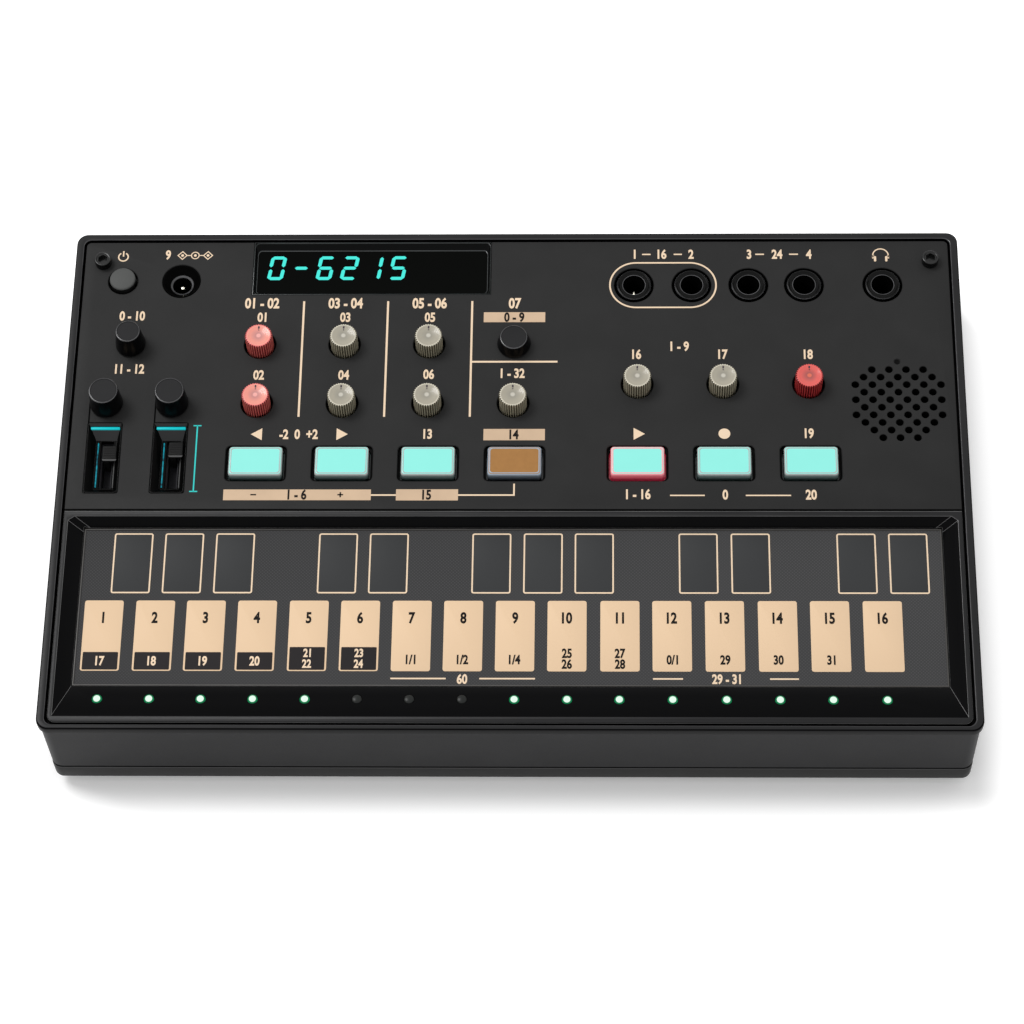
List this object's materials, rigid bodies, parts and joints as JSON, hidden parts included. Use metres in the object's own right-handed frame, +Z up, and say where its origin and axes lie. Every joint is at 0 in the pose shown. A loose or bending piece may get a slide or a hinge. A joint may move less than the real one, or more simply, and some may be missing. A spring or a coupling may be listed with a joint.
{
  "type": "fm synthesizer",
  "caption": "Small desktop FM synthesizer with a mitred touch keyboard, step lights, ribbed knobs, lit buttons, slider wells, display, speaker grille and sockets.",
  "frame": {"origin": "middle of the case's outline, on the plane under its feet", "axes": "X to the right along the keyboard, Y to the rear towards the display, Z up"},
  "size_m": [0.193, 0.119, 0.0344],
  "materials": {
    "case_lower": "fine grain",
    "case_upper": "fine grain",
    "panel": "fine grain with printed lines",
    "bezel": "satin",
    "touch_surface": "fine diagonal weave with printed keys",
    "circuit_board": "solder resist",
    "step_light": "clear, lit",
    "component_body": "moulded",
    "power_cap": "satin",
    "well_plastic": "satin",
    "lever_plastic": "ribbed",
    "light_guide": "frosted, lit",
    "inlet_plastic": "satin",
    "window_plastic": "deep gloss",
    "display_glow": "satin",
    "speaker_frame": "satin",
    "battery_can": "bare sleeve",
    "contact_metal": "plated",
    "cover_plastic": "fine grain",
    "screw_steel": "plated",
    "collar_steel": "blackened",
    "foot_rubber": "matt",
    "knob_clear": "smoky, lit from below",
    "knob_pink": "smoky, lit from below",
    "knob_red": "smoky, lit from below",
    "knob_black": "satin with a paler top",
    "button_clear": "frosted, lit from below",
    "button_amber": "frosted, lit from below",
    "button_play": "frosted, lit from below with a pink edge",
    "socket_plastic": "satin"
  },
  "bodies": {
    "case": {"lower_case": "case_lower", "upper_case": "case_upper", "top_panel": "panel", "keyboard_bezel": "bezel", "touch_plate": "touch_surface", "touch_sensor_board": "circuit_board", "step_leds": "step_light", "potentiometers": "component_body", "button_switches": "component_body", "power_switch": "component_body", "slider_well_left": "well_plastic", "slider_well_right": "well_plastic", "slider_lights": "light_guide", "slide_potentiometers": "component_body", "dc_jack": "inlet_plastic", "display_window": "window_plastic", "display_module": "display_glow", "speaker": "speaker_frame", "main_board": "circuit_board", "board_header": "component_body", "batteries": "battery_can", "battery_contacts": "contact_metal", "case_screws": "screw_steel", "corner_screws": "collar_steel", "rubber_feet": "foot_rubber", "midi_in_jack": "socket_plastic", "midi_out_jack": "socket_plastic", "sync_in_jack": "socket_plastic", "sync_out_jack": "socket_plastic", "headphone_jack": "socket_plastic"},
    "modulator_attack_knob": {"modulator_attack_knob": "knob_pink"},
    "modulator_decay_knob": {"modulator_decay_knob": "knob_pink"},
    "carrier_attack_knob": {"carrier_attack_knob": "knob_clear"},
    "carrier_decay_knob": {"carrier_decay_knob": "knob_clear"},
    "lfo_rate_knob": {"lfo_rate_knob": "knob_clear"},
    "lfo_depth_knob": {"lfo_depth_knob": "knob_clear"},
    "algorithm_knob": {"algorithm_knob": "knob_clear"},
    "arp_type_knob": {"arp_type_knob": "knob_clear"},
    "arp_division_knob": {"arp_division_knob": "knob_clear"},
    "tempo_knob": {"tempo_knob": "knob_red"},
    "volume_knob": {"volume_knob": "knob_black"},
    "data_knob_left": {"data_knob_left": "knob_black"},
    "data_knob_right": {"data_knob_right": "knob_black"},
    "program_knob": {"program_knob": "knob_black"},
    "octave_down_button": {"octave_down_button": "button_clear"},
    "octave_up_button": {"octave_up_button": "button_clear"},
    "save_button": {"save_button": "button_clear"},
    "edit_button": {"edit_button": "button_amber"},
    "play_button": {"play_button": "button_play"},
    "record_button": {"record_button": "button_clear"},
    "memory_button": {"memory_button": "button_clear"},
    "power_button": {"power_button": "power_cap"},
    "slider_left": {"slider_left": "lever_plastic"},
    "slider_right": {"slider_right": "lever_plastic"},
    "battery_cover": {"battery_cover": "cover_plastic"}
  },
  "joints": [
    {"name": "modulator_attack_knob_turn", "type": "hinge", "parent": "case", "child": "modulator_attack_knob", "pos_m": [-0.0549, 0.0314, 0.0283], "axis": [0, 0, 1], "range_deg": [-150, 150]},
    {"name": "modulator_decay_knob_turn", "type": "hinge", "parent": "case", "child": "modulator_decay_knob", "pos_m": [-0.0549, 0.0168, 0.0283], "axis": [0, 0, 1], "range_deg": [-150, 150]},
    {"name": "carrier_attack_knob_turn", "type": "hinge", "parent": "case", "child": "carrier_attack_knob", "pos_m": [-0.0366, 0.0314, 0.0283], "axis": [0, 0, 1], "range_deg": [-150, 150]},
    {"name": "carrier_decay_knob_turn", "type": "hinge", "parent": "case", "child": "carrier_decay_knob", "pos_m": [-0.0366, 0.0168, 0.0283], "axis": [0, 0, 1], "range_deg": [-150, 150]},
    {"name": "lfo_rate_knob_turn", "type": "hinge", "parent": "case", "child": "lfo_rate_knob", "pos_m": [-0.0183, 0.0314, 0.0283], "axis": [0, 0, 1], "range_deg": [-150, 150]},
    {"name": "lfo_depth_knob_turn", "type": "hinge", "parent": "case", "child": "lfo_depth_knob", "pos_m": [-0.0183, 0.0168, 0.0283], "axis": [0, 0, 1], "range_deg": [-150, 150]},
    {"name": "algorithm_knob_turn", "type": "hinge", "parent": "case", "child": "algorithm_knob", "pos_m": [0, 0.0168, 0.0283], "axis": [0, 0, 1], "range_deg": [-150, 150]},
    {"name": "arp_type_knob_turn", "type": "hinge", "parent": "case", "child": "arp_type_knob", "pos_m": [0.0265, 0.0214, 0.0283], "axis": [0, 0, 1], "range_deg": [-150, 150]},
    {"name": "arp_division_knob_turn", "type": "hinge", "parent": "case", "child": "arp_division_knob", "pos_m": [0.0448, 0.0214, 0.0283], "axis": [0, 0, 1], "range_deg": [-150, 150]},
    {"name": "tempo_knob_turn", "type": "hinge", "parent": "case", "child": "tempo_knob", "pos_m": [0.0631, 0.0214, 0.0283], "axis": [0, 0, 1], "range_deg": [-150, 150]},
    {"name": "volume_knob_turn", "type": "hinge", "parent": "case", "child": "volume_knob", "pos_m": [-0.0829, 0.0314, 0.0283], "axis": [0, 0, 1], "range_deg": [-150, 150]},
    {"name": "data_knob_left_turn", "type": "hinge", "parent": "case", "child": "data_knob_left", "pos_m": [-0.0871, 0.0166, 0.0283], "axis": [0, 0, 1], "range_deg": [-150, 150]},
    {"name": "data_knob_right_turn", "type": "hinge", "parent": "case", "child": "data_knob_right", "pos_m": [-0.073, 0.0166, 0.0283], "axis": [0, 0, 1], "range_deg": [-150, 150]},
    {"name": "program_knob_turn", "type": "hinge", "parent": "case", "child": "program_knob", "pos_m": [0, 0.0314, 0.0283], "axis": [0, 0, 1], "range_deg": [-150, 150]},
    {"name": "slider_left_slide", "type": "slide", "parent": "case", "child": "slider_left", "axis": [0, 1, 0], "range_m": [-0.0062, 0.0023]},
    {"name": "slider_right_slide", "type": "slide", "parent": "case", "child": "slider_right", "axis": [0, 1, 0], "range_m": [-0.0071, 0.0014]},
    {"name": "octave_down_button_press", "type": "slide", "parent": "case", "child": "octave_down_button", "axis": [0, 0, 1], "range_m": [-0.0006, 0], "stiffness_N_per_m": 800},
    {"name": "octave_up_button_press", "type": "slide", "parent": "case", "child": "octave_up_button", "axis": [0, 0, 1], "range_m": [-0.0006, 0], "stiffness_N_per_m": 800},
    {"name": "save_button_press", "type": "slide", "parent": "case", "child": "save_button", "axis": [0, 0, 1], "range_m": [-0.0006, 0], "stiffness_N_per_m": 800},
    {"name": "edit_button_press", "type": "slide", "parent": "case", "child": "edit_button", "axis": [0, 0, 1], "range_m": [-0.0006, 0], "stiffness_N_per_m": 800},
    {"name": "play_button_press", "type": "slide", "parent": "case", "child": "play_button", "axis": [0, 0, 1], "range_m": [-0.0006, 0], "stiffness_N_per_m": 800},
    {"name": "record_button_press", "type": "slide", "parent": "case", "child": "record_button", "axis": [0, 0, 1], "range_m": [-0.0006, 0], "stiffness_N_per_m": 800},
    {"name": "memory_button_press", "type": "slide", "parent": "case", "child": "memory_button", "axis": [0, 0, 1], "range_m": [-0.0006, 0], "stiffness_N_per_m": 800},
    {"name": "power_button_press", "type": "slide", "parent": "case", "child": "power_button", "axis": [0, 0, 1], "range_m": [-0.0006, 0], "stiffness_N_per_m": 800},
    {"name": "battery_cover_slide", "type": "slide", "parent": "case", "child": "battery_cover", "axis": [0, 1, 0], "range_m": [0, 0.005]}
  ]
}
